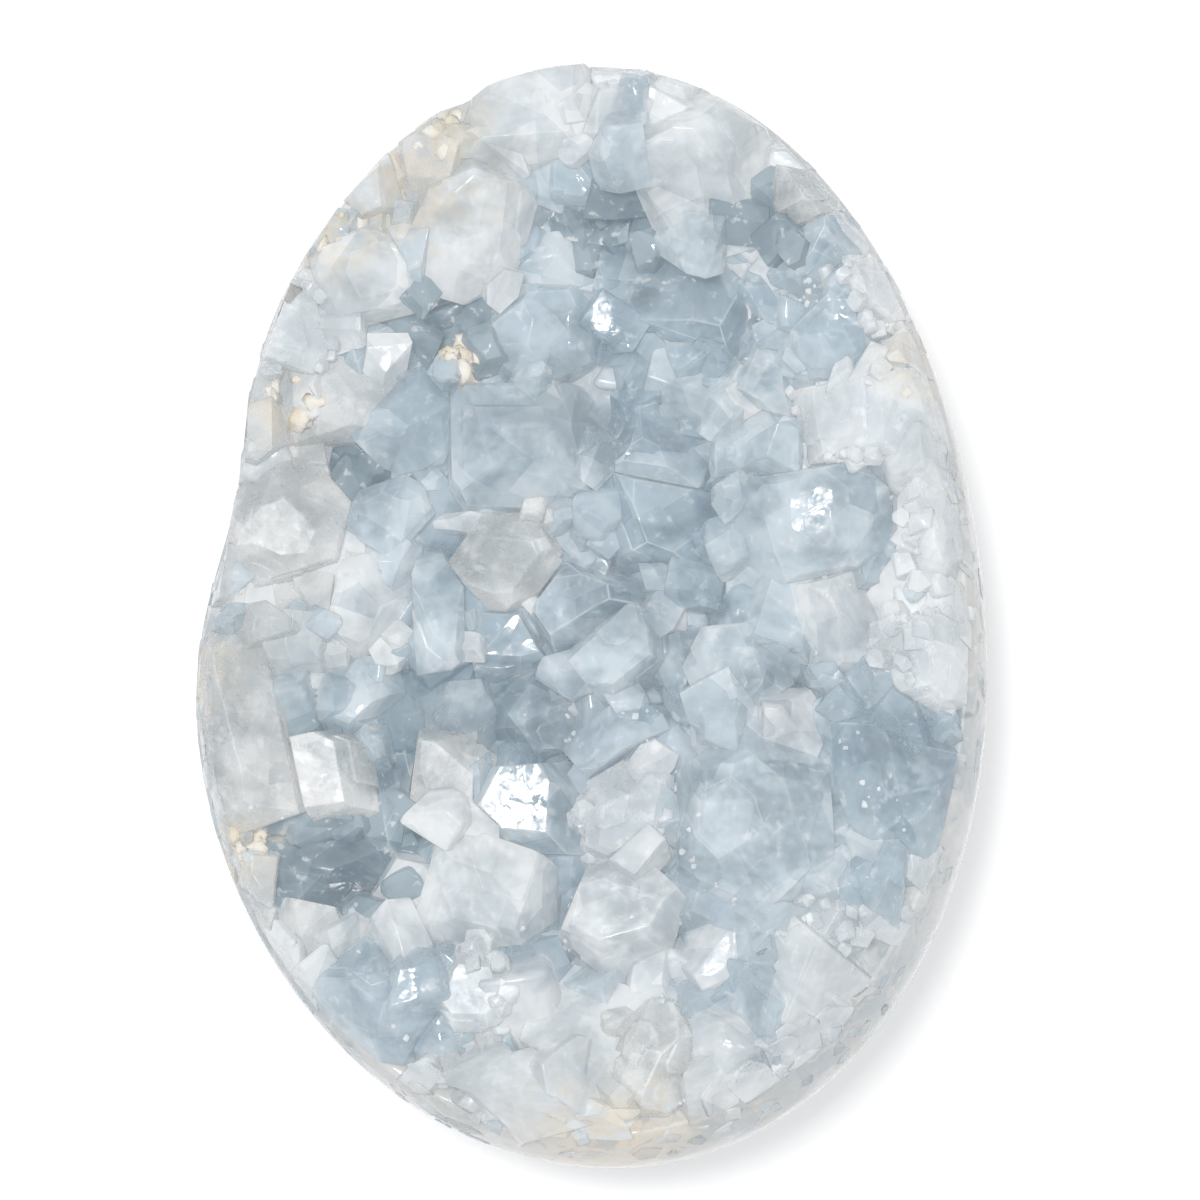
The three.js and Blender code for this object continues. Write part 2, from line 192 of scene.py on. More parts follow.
# one row for each tone of celestite: how milky it is from its clear to its clouded places, and its colours
celestiteTones = {
    "pale": {
        "slot": "pale_celestite", "milk": (0.2, 0.65), "rough": (0.06, 0.2), "gloss": 0.36, "depth": 18,
        "clear": paint(229, 241, 247), "body": paint(186, 203, 214), "cloud": paint(212, 223, 230),
        "absorb": paint(170, 199, 215),
    },
    "light": {
        "slot": "pale_celestite", "milk": (0.3, 0.75), "rough": (0.08, 0.22), "gloss": 0.36, "depth": 10,
        "clear": paint(240, 245, 248), "body": paint(213, 221, 226), "cloud": paint(230, 234, 236),
        "absorb": paint(190, 209, 219),
    },
    "mid": {
        "slot": "blue_celestite", "milk": (0.16, 0.6), "rough": (0.05, 0.18), "gloss": 0.36, "depth": 24,
        "clear": paint(221, 236, 244), "body": paint(174, 194, 207), "cloud": paint(197, 211, 221),
        "absorb": paint(156, 186, 203),
    },
    "deep": {
        "slot": "deep_celestite", "milk": (0.16, 0.6), "rough": (0.05, 0.18), "gloss": 0.36, "depth": 28,
        "clear": paint(213, 229, 238), "body": paint(162, 183, 197), "cloud": paint(183, 200, 211),
        "absorb": paint(142, 174, 193),
    },
    # painted shade: the darkest tone, for the low crystals and the lining that stand deep in shade
    "painted_shade_gap": {
        "slot": "deep_celestite", "milk": (0.5, 0.85), "rough": (0.06, 0.2), "gloss": 0.36, "depth": 30,
        "clear": paint(196, 210, 218), "body": paint(130, 148, 159), "cloud": paint(153, 169, 178),
        "absorb": paint(142, 168, 182),
    },
    "frost": {
        "slot": "frosted_celestite", "milk": (0.5, 0.95), "rough": (0.14, 0.36), "gloss": 0.36, "depth": 6,
        "clear": paint(243, 246, 248), "body": paint(207, 215, 220), "cloud": paint(224, 229, 232),
        "absorb": paint(204, 216, 223),
    },
    "warm": {
        "slot": "warm_celestite", "milk": (0.3, 0.75), "rough": (0.18, 0.36), "gloss": 0.12, "depth": 8,
        "clear": paint(241, 243, 243), "body": paint(196, 202, 204), "cloud": paint(219, 221, 221),
        "absorb": paint(206, 213, 214),
    },
}
# the low crystals take the darkest tone, as painted shade
lowCrystals = ("deep_well_crystal", "cave_crystal", "left_recess_crystal", "dark_hollow_crystal",
               "dark_upright_crystal")
lightCrystals = ("crown_crystal", "brow_crystal", "great_brow_crystal", "tumbled_crystal",
                 "upper_left_crystal", "right_wedge_crystal", "left_mass_crystal", "left_inner_crystal",
                 "lower_left_crystal", "lower_middle_crystal")
bareCrystals = ("mirror_face_crystal",)  # its large top facet mirrors a lamp
toneOfNode = {**{name: "painted_shade_gap" for name in lowCrystals}, **{name: "light" for name in lightCrystals}}

# where cream stains the crystals, by pixel of the photograph, with its reach in millimetres and its strength
stains = (
    {"pixel": (430, 165), "reach": 13, "strength": 0.9}, {"pixel": (340, 235), "reach": 8, "strength": 0.85},
    {"pixel": (290, 410), "reach": 6, "strength": 0.7}, {"pixel": (915, 365), "reach": 7, "strength": 0.7},
    {"pixel": (255, 850), "reach": 6, "strength": 0.8}, {"pixel": (205, 670), "reach": 8, "strength": 0.6},
    {"pixel": (610, 1135), "reach": 15, "strength": 0.9},
)
stainEdge = 0.15  # the share of a stain's reach where it is at full strength
# painted shade: crystals are tinted darker and bluer the deeper they stand below the opening
paintedDepthShade = {"start": 0.5, "end": 8.5, "strength": 0.36, "tint": paint(108, 133, 149)}


def stainAt(f, place):
    flat = f.node("VectorMath", {"operation": "MULTIPLY"}, {0: place, 1: (1, 1, 0)})
    ragged = 0.006 * f.noise(place, 210, 4, 0.65) - 0.003
    total = 0
    for spot in stains:
        centre = Vector((*atPixel(*spot["pixel"]), 0)) * mm
        away = f.node("VectorMath", {"operation": "DISTANCE"}, {0: flat, 1: centre}, out="Value")
        reach = spot["reach"] * mm
        total = f.ramp(away + ragged, reach, stainEdge * reach, 0, spot["strength"]) + total
    return total


# how deep the painted shade lies: 0 at the crystals' tops to 1 deep in the bowl
def paintedShadeDepthAt(f, place):
    x, y, z = (f.node("SeparateXYZ", {}, {"Vector": place}, out=axis) for axis in "XYZ")
    level = opening["slopeX"] * x + opening["slopeY"] * y + (equator + opening["rise"]) * mm
    return f.ramp(level - z, paintedDepthShade["start"] * mm, paintedDepthShade["end"] * mm)


# clear celestite that passes into milky celestite in clouds, flecks, inner planes and along its edges, which
# carry a painted highlight too; painted shade darkens it the deeper it stands; its facets are faintly uneven
def celestiteFinish(name, tone, whole=True):
    f = Finish(name)
    place = f.place()
    clouds = f.noise(place, 120, 3, 0.6, 0.3)
    grain = f.noise(place, 620, 2, 0.65)
    planes = f.node("TexVoronoi", {"feature": "F1"}, {"Vector": place, "Scale": 190}, out="Color")
    planes = f.node("SeparateColor", {}, {"Color": planes})
    edges = f.node("Attribute", {"attribute_name": "edge"}, out="Fac")
    edges = edges * f.ramp(f.noise(place, 90, 2, 0.5), 0.4, 0.6, 0.08, 0.5)
    flecks = f.ramp(grain, 0.6, 0.7)
    milk = f.ramp(clouds + 0.2 * grain, 0.42, 0.78, *tone["milk"]) + 0.16 * planes
    milk = f.node("Math", {"operation": "MAXIMUM", "use_clamp": True}, {0: milk, 1: edges})
    swells = f.noise(place, 115, 0, 0.5)
    uneven = f.bump(swells + f.noise(place, 330, 1, 0.5) + 0.2 * grain, 0.24, 0.0008)
    rough = f.ramp(grain, 0.3, 0.75, *tone["rough"])
    # painted shade, darker and bluer the deeper the place stands
    paintedShade = paintedDepthShade["strength"] * paintedShadeDepthAt(f, place)
    clear = f.node("BsdfPrincipled", {}, {
        "Base Color": f.blend(paintedShade, tone["clear"], paintedDepthShade["tint"]), "Roughness": rough, "IOR": 1.62,
        "Transmission Weight": 0.92, "Specular IOR Level": tone["gloss"], "Normal": uneven,
    })
    shade = f.blend(f.ramp(clouds + 0.3 * planes - 0.15, 0.36, 0.68), tone["body"], tone["cloud"])
    shade = f.blend(0.5 * flecks, shade, paint(240, 243, 245))
    shade = f.blend(paintedShade, shade, paintedDepthShade["tint"])
    stained = stainAt(f, place) * f.ramp(f.noise(place, 300, 3, 0.6), 0.38, 0.6)
    shade = f.blend(stained, shade, paint(226, 216, 198))
    # the edges, milky from wear, are also painted whiter: partly real, partly a painted highlight
    shade = f.blend(edges, shade, paint(238, 242, 244))
    milky = f.node("BsdfPrincipled", {"subsurface_method": "RANDOM_WALK"}, {
        "Base Color": shade, "Roughness": rough, "IOR": 1.62, "Subsurface Weight": 0.85 if whole else 0,
        "Subsurface Radius": (0.9, 1, 1.05), "Subsurface Scale": 0.004, "Specular IOR Level": tone["gloss"],
        "Normal": uneven,
    })
    ends = {"Surface": f.node("MixShader", {}, {0: milk, 1: clear, 2: milky})}
    if whole:
        ends["Volume"] = f.node("VolumeAbsorption", {}, {"Color": tone["absorb"], "Density": tone["depth"]})
    f.node("OutputMaterial", {}, ends)
    return f.material


# interlocking grains in cream, white and grey-blue patches, ground smooth and polished
def wallFinish():
    f = Finish("polished_celestite")
    place = f.place()
    warp = f.noise(place, 60, 4, 0.6)
    bent = f.node("TexNoise", {}, {"Vector": place, "Scale": 130, "Detail": 3}, out="Color")
    bent = f.node("VectorMath", {"operation": "MULTIPLY_ADD"}, {0: bent, 1: (0.012, 0.012, 0.012), 2: place})
    grains = f.node("TexVoronoi", {"feature": "F1"}, {"Vector": bent, "Scale": 150}, out="Color")
    grainTone = f.node("SeparateColor", {}, {"Color": grains})
    patches = f.noise(place, 34, 5, 0.65, 1.2)
    blue = f.ramp(patches + 0.3 * grainTone, 0.5, 0.82)
    cream = f.ramp(warp + 0.25 * grainTone, 0.55, 0.85)
    stone = f.blend(0.75 * blue, paint(201, 204, 205), paint(160, 176, 186))
    stone = f.blend(0.5 * cream, stone, paint(215, 208, 195))
    height = f.node("SeparateXYZ", {}, {"Vector": place}, out="Z")
    nearLip = f.ramp(height + 0.016 * warp, (equator - 4) * mm, (equator + 9) * mm)
    stone = f.blend(stainAt(f, place) * nearLip * f.ramp(patches, 0.3, 0.5), stone, paint(221, 209, 192))
    streaks = f.noise(bent, 240, 4, 0.6, 1)
    stone = f.blend(0.45 * f.ramp(streaks, 0.54, 0.66), stone, paint(226, 227, 225))
    stone = f.blend(0.5 * f.ramp(streaks, 0.46, 0.36), stone, paint(160, 171, 175))
    slits = f.ramp(f.noise(bent, 110, 2, 0.5, 1), 0.64, 0.7)
    stone = f.blend(0.6 * slits, stone, paint(128, 142, 150))
    rough = f.ramp(grainTone + 0.5 * slits, 0, 1.3, 0.12, 0.34)
    uneven = f.bump(f.noise(place, 500, 3, 0.6) - 0.8 * slits, 0.16, 0.0006)
    shell = f.node("BsdfPrincipled", {}, {
        "Base Color": stone, "Roughness": rough, "IOR": 1.6, "Subsurface Weight": 0.35,
        "Subsurface Radius": (1, 0.9, 0.8), "Subsurface Scale": 0.002, "Coat Weight": 0.3,
        "Coat Roughness": 0.12, "Normal": uneven,
    })
    f.node("OutputMaterial", {}, {"Surface": shell})
    return f.material


# chalky cream matrix
def matrixFinish():
    f = Finish("cream_matrix")
    place = f.place()
    crumbs = f.noise(place, 900, 5, 0.7)
    tints = f.noise(place, 260, 3, 0.5)
    chalk = f.blend(f.ramp(tints, 0.4, 0.7), paint(240, 236, 226), paint(226, 212, 186))
    chalk = f.blend(f.ramp(crumbs, 0.66, 0.76, 0, 0.7), chalk, paint(180, 160, 134))
    uneven = f.bump(crumbs, 0.7, 0.0005)
    lump = f.node("BsdfPrincipled", {}, {
        "Base Color": chalk, "Roughness": f.ramp(crumbs, 0.3, 0.7, 0.65, 0.9), "Normal": uneven,
        "Subsurface Weight": 0.2, "Subsurface Radius": (1, 0.9, 0.7), "Subsurface Scale": 0.001,
    })
    f.node("OutputMaterial", {}, {"Surface": lump})
    return f.material


# wispy white veils and healed cracks inside the crystals
def veilFinish():
    f = Finish("white_veil")
    place = f.place()
    wisps = f.noise(place, 420, 6, 0.7, 1.5)
    cover = f.ramp(wisps, 0.48, 0.72, 0, 0.8)
    shade = f.blend(wisps, paint(236, 241, 245), paint(250, 251, 252))
    veil = f.node("BsdfPrincipled", {}, {"Base Color": shade, "Roughness": 0.5, "Alpha": cover})
    f.node("OutputMaterial", {}, {"Surface": veil})
    return f.material


finishes = {tone: celestiteFinish(tone + "_celestite", look) for tone, look in celestiteTones.items()}
smallFinishes = {tone: celestiteFinish("small_" + tone + "_celestite", look, False)
                 for tone, look in celestiteTones.items()}
print("finishes wired:", len(finishes) + len(smallFinishes))


def addPiece(name, points, faces, material, slot):
    mesh = bpy.data.meshes.new(name)
    mesh.from_pydata((points * mm).tolist(), [], faces)
    mesh.polygons.foreach_set("use_smooth", [True] * len(mesh.polygons))
    mesh.materials.append(material)
    mesh.update()
    piece = bpy.data.objects.new(name, mesh)
    bpy.context.scene.collection.objects.link(piece)
    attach(piece, "root")
    return piece


# 1 in the middle of the worn edges, which are the narrow faces, and 0 on the facets; edges get a painted
# highlight
def markEdges(piece, narrow=0.3):
    mesh = piece.data
    onFacet = np.zeros(len(mesh.vertices), bool)
    points = np.array([v.co for v in mesh.vertices]) / mm
    for polygon in mesh.polygons:
        corners = points[list(polygon.vertices)]
        around = np.linalg.norm(corners - np.roll(corners, 1, 0), axis=1).sum()
        if 2 * polygon.area / mm ** 2 > narrow * around:
            onFacet[list(polygon.vertices)] = True
    mesh.attributes.new("edge", "FLOAT", "POINT").data.foreach_set("value", (~onFacet).astype(float))


def softenNormals(piece):
    piece.modifiers.new("even_facets", "WEIGHTED_NORMAL").weight = 90


def arraysOf(bm):
    bm.verts.index_update()
    points = np.array([v.co for v in bm.verts], float)
    return points, [[v.index for v in face.verts] for face in bm.faces]


# lists of (points, faces) put together as one mesh
def joined(shells):
    points, faces, start = [], [], 0
    for shellPoints, shellFaces in shells:
        points.append(shellPoints)
        faces += [[i + start for i in face] for face in shellFaces]
        start += len(shellPoints)
    return np.concatenate(points), faces


# the polished wall: rings up the outside to the opening, over the lip and down the bowl
wallShape = {
    "around": 320, "outerRings": 60, "bowlRings": 16, "crowding": 1.5, "lipRound": 0.6, "worn": 0.5,
    "lipSteps": ((0.26, 0.3), (0.5, 0.08)), "bowlInset": 0.9, "rimSearch": (20, 75),
}


def farthestInside(inside, near, far, halvings=40):
    for _ in range(halvings):
        middle = (near + far) / 2
        fits = inside(middle)
        near = np.where(fits, middle, near)
        far = np.where(fits, far, middle)
    return near


def polishedWall():
    turn = np.linspace(0, 2 * math.pi, wallShape["around"], endpoint=False)
    cosine, sine = np.cos(turn), np.sin(turn)

    def ringAt(reach, height):
        return np.stack([reach * cosine, egg["widestAt"] + reach * sine, height], 1)

    def bowlAt(reach):
        return bowlHeight(reach * cosine, egg["widestAt"] + reach * sine)

    nearest, farthest = (np.full_like(turn, reach) for reach in wallShape["rimSearch"])

    def reachAt(height):
        return farthestInside(
            lambda reach: eggFullness(*ringAt(reach, height).T) <= 1, np.zeros_like(turn), farthest)

    rim = farthestInside(
        lambda reach: eggFullness(*ringAt(reach, bowlAt(reach)).T) <= 1, nearest, farthest)
    worn = np.array([noise.noise(Vector((math.cos(t) * 4, math.sin(t) * 4, 3))) for t in turn])
    top = bowlAt(rim) - wallShape["worn"] * np.maximum(0, worn)
    rings = []
    for ring in range(wallShape["outerRings"] + 1):
        share = (ring / wallShape["outerRings"]) ** wallShape["crowding"]
        height = share * (top - wallShape["lipRound"])
        rings.append(ringAt(reachAt(height), height))
    for inward, below in wallShape["lipSteps"]:
        rings.append(ringAt(rim - inward, top - below))
    for ring in range(wallShape["bowlRings"]):
        reach = (rim - wallShape["bowlInset"]) * (1 - ring / wallShape["bowlRings"])
        rings.append(ringAt(reach, np.minimum(bowlAt(reach), top)))
    middles = [[0, egg["widestAt"], height] for height in (0, bowlHeight(0, egg["widestAt"]))]
    points = np.concatenate(rings + [middles])
    count, last = wallShape["around"], len(rings) - 1
    faces = []
    for i in range(count):
        j = (i + 1) % count
        faces.append([len(points) - 2, j, i])
        faces.append([len(points) - 1, last * count + i, last * count + j])
        for ring in range(last):
            low, high = ring * count, (ring + 1) * count
            faces.append([low + i, low + j, high + j, high + i])
    wall = addPiece("polished_wall_stone", points, faces, wallFinish(), "polished_wall")
    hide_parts("polished_wall")


polishedWall()
print("wall ground and polished")

# the large crystals: the frame's solids with worn edges, chipped corners and stepped facets
crystalShape = {
    "seed": 11, "edge": (0.15, 0.55), "stepEdge": 0.08,
    "chips": (3, 8), "chipDepth": (0.3, 1.5), "chipTurn": 0.4,
    "bareChips": ((1, 0.8, 0.4), (-1, -0.9, 0.4), (-1, 0.6, 0.4)), "bareDepth": 1.9,
    "steps": 3, "stepShare": 0.55, "stepSize": (0.4, 0.75), "stepRise": (0.12, 0.5), "sharp": 14,
    "stepUp": 0.1, "stepLeast": 5, "segments": 3, "stepSegments": 1,
}
dice = random.Random(crystalShape["seed"])


def randomWay(spread=1):
    return Vector((dice.gauss(0, spread), dice.gauss(0, spread), dice.gauss(0, spread)))


def solidOf(node):
    bm = bmesh.new()
    bm.from_mesh(node.data)
    bmesh.ops.scale(bm, vec=(1 / mm, 1 / mm, 1 / mm), verts=bm.verts)
    bmesh.ops.remove_doubles(bm, verts=bm.verts, dist=0.01)
    bmesh.ops.dissolve_limit(bm, angle_limit=math.radians(1.5), verts=bm.verts, edges=bm.edges)
    bm.normal_update()
    return bm


# cuts away what lies beyond a plane and closes the cut
def cutAway(bm, normal, point):
    everything = bm.verts[:] + bm.edges[:] + bm.faces[:]
    bmesh.ops.bisect_plane(bm, geom=everything, dist=1e-4, plane_co=point, plane_no=normal, clear_outer=True)
    rim = [edge for edge in bm.edges if edge.is_boundary]
    if rim:
        bmesh.ops.holes_fill(bm, edges=rim, sides=0)
    bmesh.ops.remove_doubles(bm, verts=bm.verts, dist=0.005)


def chip(bm, way, depth):
    farthest = max(v.co.dot(way) for v in bm.verts)
    cutAway(bm, way, way * (farthest - depth))


def chipCorners(bm, count):
    for _ in range(count):
        bm.normal_update()
        high = sorted(bm.verts, key=lambda v: v.co.z)[len(bm.verts) // 3:]
        corner = dice.choice(high)
        way = (corner.normal + randomWay(crystalShape["chipTurn"])).normalized()
        chip(bm, way, dice.uniform(*crystalShape["chipDepth"]))


def wearEdges(bm, width, segments):
    sharp = math.radians(crystalShape["sharp"])
    edges = [e for e in bm.edges if e.is_manifold and e.calc_face_angle(0) > sharp]
    bmesh.ops.bevel(bm, geom=edges, offset=width, offset_type="OFFSET", segments=segments, profile=0.55,
                    affect="EDGES", clamp_overlap=True)


# a smaller twin of the crystal that grew on one of its facets, so that the facet is stepped
def stepOn(bm, facetPick):
    step = bm.copy()
    share = dice.uniform(*crystalShape["stepSize"])
    at = dice.choice(facetPick.verts[:]).co.copy()
    rise = facetPick.normal * dice.uniform(*crystalShape["stepRise"])
    for v in step.verts:
        v.co = at + (v.co - at) * share + rise
    return step


# closed shells grown into one
def united(shells):
    pieces = []
    for shell in shells:
        mesh = bpy.data.meshes.new("shell")
        shell.to_mesh(mesh)
        shell.free()
        pieces.append(bpy.data.objects.new("shell", mesh))
        bpy.context.scene.collection.objects.link(pieces[-1])
    for other in pieces[1:]:
        union = pieces[0].modifiers.new("union", "BOOLEAN")
        union.operation, union.solver, union.object = "UNION", "MANIFOLD", other
    whole = pieces[0].evaluated_get(bpy.context.evaluated_depsgraph_get()).to_mesh()
    points = np.array([v.co for v in whole.vertices], float)
    faces = [polygon.vertices[:] for polygon in whole.polygons]
    for piece in pieces:
        bpy.data.meshes.remove(piece.data)
    return points, faces


def largeCrystal(name):
    bm = solidOf(frame["nodes"][name])
    size = bm.calc_volume() ** (1 / 3)
    upper = []
    if name in bareCrystals:
        for way in crystalShape["bareChips"]:
            chip(bm, Vector(way).normalized(), crystalShape["bareDepth"])
    else:
        chipCorners(bm, dice.randint(*crystalShape["chips"]))
        bm.normal_update()
        upper = [face for face in bm.faces if face.normal.z > crystalShape["stepUp"]]
        upper.sort(key=lambda face: -face.calc_area())
        upper = upper[:crystalShape["steps"]] if size > crystalShape["stepLeast"] else []
    steps = [stepOn(bm, face) for face in upper if dice.random() < crystalShape["stepShare"]]
    wearEdges(bm, dice.uniform(*crystalShape["edge"]), crystalShape["segments"])
    for step in steps:
        wearEdges(step, crystalShape["stepEdge"], crystalShape["stepSegments"])
    return united([bm] + steps)


tones = {row["node"]: row["material_slot"] for row in frame["record"]["subparts"]}
toneOfSlot = {look["slot"]: tone for tone, look in celestiteTones.items() if tone not in ("painted_shade_gap", "light")}
crystalNames = [name for name in sorted(tones) if name.endswith("_crystal")]
toneOf = {name: toneOfNode.get(name, toneOfSlot[tones[name]]) for name in crystalNames}
for name, tone in toneOf.items():
    points, faces = largeCrystal(name)
    points = groundToEgg(points, ground["large"])
    piece = addPiece(name + "_worn", points, faces, finishes[tone], tones[name])
    markEdges(piece)
    softenNormals(piece)
    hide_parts(name)
print("large crystals worn:", len(crystalNames))


# what the smaller crystals stand on and grow between
def treeOf(names):
    points, faces, start = [], [], 0
    for name in names:
        mesh = frame["nodes"][name].data
        points += [v.co / mm for v in mesh.vertices]
        faces += [[i + start for i in polygon.vertices] for polygon in mesh.polygons]
        start += len(mesh.vertices)
    return BVHTree.FromPolygons(points, faces)


wallTree = treeOf(["polished_wall"])
crystalTree = treeOf(crystalNames)


# what is met straight below a place, as a point, its normal and more
def metBelow(tree, x, y):
    return tree.ray_cast(Vector((x, y, 100)), Vector((0, 0, -1)))


# corners of the solid that all the planes (normal, distance) enclose
def enclosed(planes):
    normals, distances = planes[:, :3], planes[:, 3]
    trios = np.array(list(itertools.combinations(range(len(planes)), 3)))
    sides = normals[trios]
    trios, sides = (part[np.abs(np.linalg.det(sides)) > 1e-4] for part in (trios, sides))
    corners = np.linalg.solve(sides, distances[trios][..., None])[..., 0]
    return corners[(corners @ normals.T <= distances + 1e-6).all(1)]


# small crystals grow from a few forms, one wide and one long above their root
smallForm = {
    "count": 16, "grains": 10, "root": 0.4, "edge": 0.06, "grainEdge": 0.13,
    "sides": (4, 4, 5, 6), "crown": (2, 3, 4, 5), "blunt": (0.05, 0.15, 0.3),
    "half": (0.34, 0.52), "steep": (34, 62), "uneven": (-0.06, 0.12), "tilt": (-0.4, 0.4),
    "sideTurn": (-0.2, 0.2), "crownTurn": (-0.4, 0.4),
}


def smallCrystalForm(sides, crown, blunt, edge, segments):
    planes = [(0, 0, -1, smallForm["root"])]
    for i in range(sides):
        around = 2 * math.pi * i / sides + dice.uniform(*smallForm["sideTurn"])
        planes.append((math.cos(around), math.sin(around), 0, dice.uniform(*smallForm["half"])))
    for i in range(crown):
        around = 2 * math.pi * (i + 0.5) / crown + dice.uniform(*smallForm["crownTurn"])
        steep = math.radians(dice.uniform(*smallForm["steep"]))
        out, up = math.sin(steep), math.cos(steep)
        away = up + dice.uniform(*smallForm["uneven"])
        planes.append((out * math.cos(around), out * math.sin(around), up, away))
    tilt = Vector((dice.uniform(*smallForm["tilt"]), dice.uniform(*smallForm["tilt"]), 1)).normalized()
    planes.append((*tilt, tilt.z - blunt))
    bm = bmesh.new()
    for corner in enclosed(np.array(planes)):
        bm.verts.new(corner)
    bmesh.ops.remove_doubles(bm, verts=bm.verts, dist=1e-3)
    bmesh.ops.convex_hull(bm, input=bm.verts)
    bmesh.ops.delete(bm, geom=[v for v in bm.verts if not v.link_faces], context="VERTS")
    bmesh.ops.dissolve_limit(bm, angle_limit=math.radians(2), verts=bm.verts, edges=bm.edges)
    bmesh.ops.bevel(bm, geom=bm.edges[:], offset=edge, segments=segments, profile=0.5, affect="EDGES",
                    clamp_overlap=True)
    bmesh.ops.triangulate(bm, faces=bm.faces[:])
    form = arraysOf(bm)
    bm.free()
    return form


def formOf(edge, segments):
    sides, crown, blunt = (dice.choice(smallForm[key]) for key in ("sides", "crown", "blunt"))
    return smallCrystalForm(sides, crown, blunt, edge, segments)


forms = [formOf(smallForm["edge"], 1) for _ in range(smallForm["count"])]
grains = [formOf(smallForm["grainEdge"], 2) for _ in range(smallForm["grains"])]


def standing(form, foot, axis, width, length, flat=1):
    w = axis.normalized()
    u = w.orthogonal().normalized()
    u.rotate(Matrix.Rotation(dice.uniform(0, 2 * math.pi), 3, w))
    turn = np.array([u * width, w.cross(u) * (width * flat), w * length])
    points, faces = form
    return points @ turn + np.array(foot), faces


# the lining between the large crystals, from large to small, each size in the room that is still left
lining = {
    "widths": (10, 8.5, 7, 6, 5, 4, 3.2), "tries": (900, 1200, 1500, 2000, 2400, 3000, 3000),
    "within": 59, "offFloor": 0.8, "stout": (0.9, 1.5), "height": (12.5, 6.5), "fill": (0.62, 1.16),
    "lean": 0.3, "middle": 0.7, "broad": 1.2, "flat": (0.7, 1), "clear": -0.1, "apart": 0.27, "open": 0.75,
    "reach": 0.4, "outmost": 1.03, "tones": {"light": 0.1, "pale": 0.38, "mid": 0.32, "deep": 0.2},
}
rimWhite = {
    "start": 0.74, "end": 0.97, "bluntBelow": -30, "blunt": 0.6, "narrowAbove": 42, "narrow": 0.5,
    "widest": 6, "warmLeftOf": -8, "warm": 0.35,
}
standingHere = {tone: [] for tone in celestiteTones}

# where the lining stands deep, in painted shade, by pixel of the photograph, with its reach in millimetres
paintedShadePlaces = (
    {"pixel": (608, 235), "reach": 4.5}, {"pixel": (772, 220), "reach": 4}, {"pixel": (430, 332), "reach": 4},
    {"pixel": (491, 327), "reach": 2.5}, {"pixel": (359, 484), "reach": 3}, {"pixel": (356, 845), "reach": 8},
    {"pixel": (305, 730), "reach": 3}, {"pixel": (783, 680), "reach": 3},
)


def inPaintedShade(*points):
    return any(math.dist(point[:2], atPixel(*spot["pixel"])) < spot["reach"]
               for spot in paintedShadePlaces for point in points)


def pickTone(shares):
    return dice.choices(list(shares), list(shares.values()))[0]


def liningTone(x, y, share, width):
    white = min(1, max(0, (share - rimWhite["start"]) / (rimWhite["end"] - rimWhite["start"])))
    if y < rimWhite["bluntBelow"]:
        white = max(white, rimWhite["blunt"])
    if y > rimWhite["narrowAbove"]:
        white = max(white, rimWhite["narrow"])
    if dice.random() < white:
        pale = "light" if width > rimWhite["widest"] else "frost"
        return "warm" if x < rimWhite["warmLeftOf"] and dice.random() < rimWhite["warm"] else pale
    return pickTone(lining["tones"])


# how far a point is outside the large crystals, negative inside
def clearOfCrystals(point):
    nearest, normal, _, distance = crystalTree.find_nearest(point)
    return -distance if (point - nearest).dot(normal) < 0 else distance


# the middles of the low crystals stay open to view
lowBoxes = [[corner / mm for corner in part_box(name)] for name in lowCrystals]


def overLowCrystal(x, y):
    for low, high in lowBoxes:
        middle, half = (low + high) / 2, (high - low) / 2
        if abs(x - middle.x) < lining["open"] * half.x and abs(y - middle.y) < lining["open"] * half.y:
            return True
    return False


# whether a lining crystal's tip would stand over a large crystal and hide it
def hidesCrystal(tip, width):
    reach = lining["reach"] * width
    over = 0
    for x, y in ((0, 0), (reach, 0), (-reach, 0), (0, reach), (0, -reach)):
        hit = metBelow(crystalTree, tip.x + x, tip.y + y)[0]
        over += hit is not None and hit.z < tip.z
    return over > 1


# a random place under the outline, and where the wall is met straight below it
def wallBelow(within):
    y = dice.uniform(-within, within)
    x = float(centreLineAt(y)) + dice.uniform(-1, 1) * float(halfWidthAt(y))
    hit, normal, _, _ = metBelow(wallTree, x, y)
    return x, y, hit, normal


# whether a place is free of the places (x, y, z, width) already taken
def isFree(taken, place, width, apart):
    gaps = np.linalg.norm(taken[:, :3] - np.array(place), axis=1) - apart * (taken[:, 3] + width)
    return not len(taken) or gaps.min() >= 0


def fillLining():
    taken = np.zeros((0, 4))
    for width, tries in zip(lining["widths"], lining["tries"]):
        for _ in range(tries):
            x, y, hit, normal = wallBelow(lining["within"])
            if hit is None or overLowCrystal(x, y):
                continue
            if abs(hit.z - float(bowlHeight(x, y))) > lining["offFloor"]:
                continue
            share = float(bowlShare(x, y))
            level = np.interp(share ** 2, (0, 1), lining["height"])
            length = max(width * dice.uniform(*lining["stout"]), level * dice.uniform(*lining["fill"]))
            axis = normal + randomWay(lining["lean"])
            middle = hit + axis.normalized() * length * lining["middle"]
            tip = hit + axis.normalized() * length
            if eggFullness(*tip) > lining["outmost"] or clearOfCrystals(middle) < lining["clear"] * width:
                continue
            if hidesCrystal(tip, width) or not isFree(taken, middle, width, lining["apart"]):
                continue
            taken = np.vstack([taken, [*middle, width]])
            # lining in a shaded place takes the darkest tone, as painted shade
            tone = "painted_shade_gap" if inPaintedShade(tip, middle) else liningTone(x, y, share, width)
            form, flat = dice.choice(grains if tone == "frost" else forms), dice.uniform(*lining["flat"])
            standingHere[tone].append(standing(form, hit, axis, width * lining["broad"], length, flat))


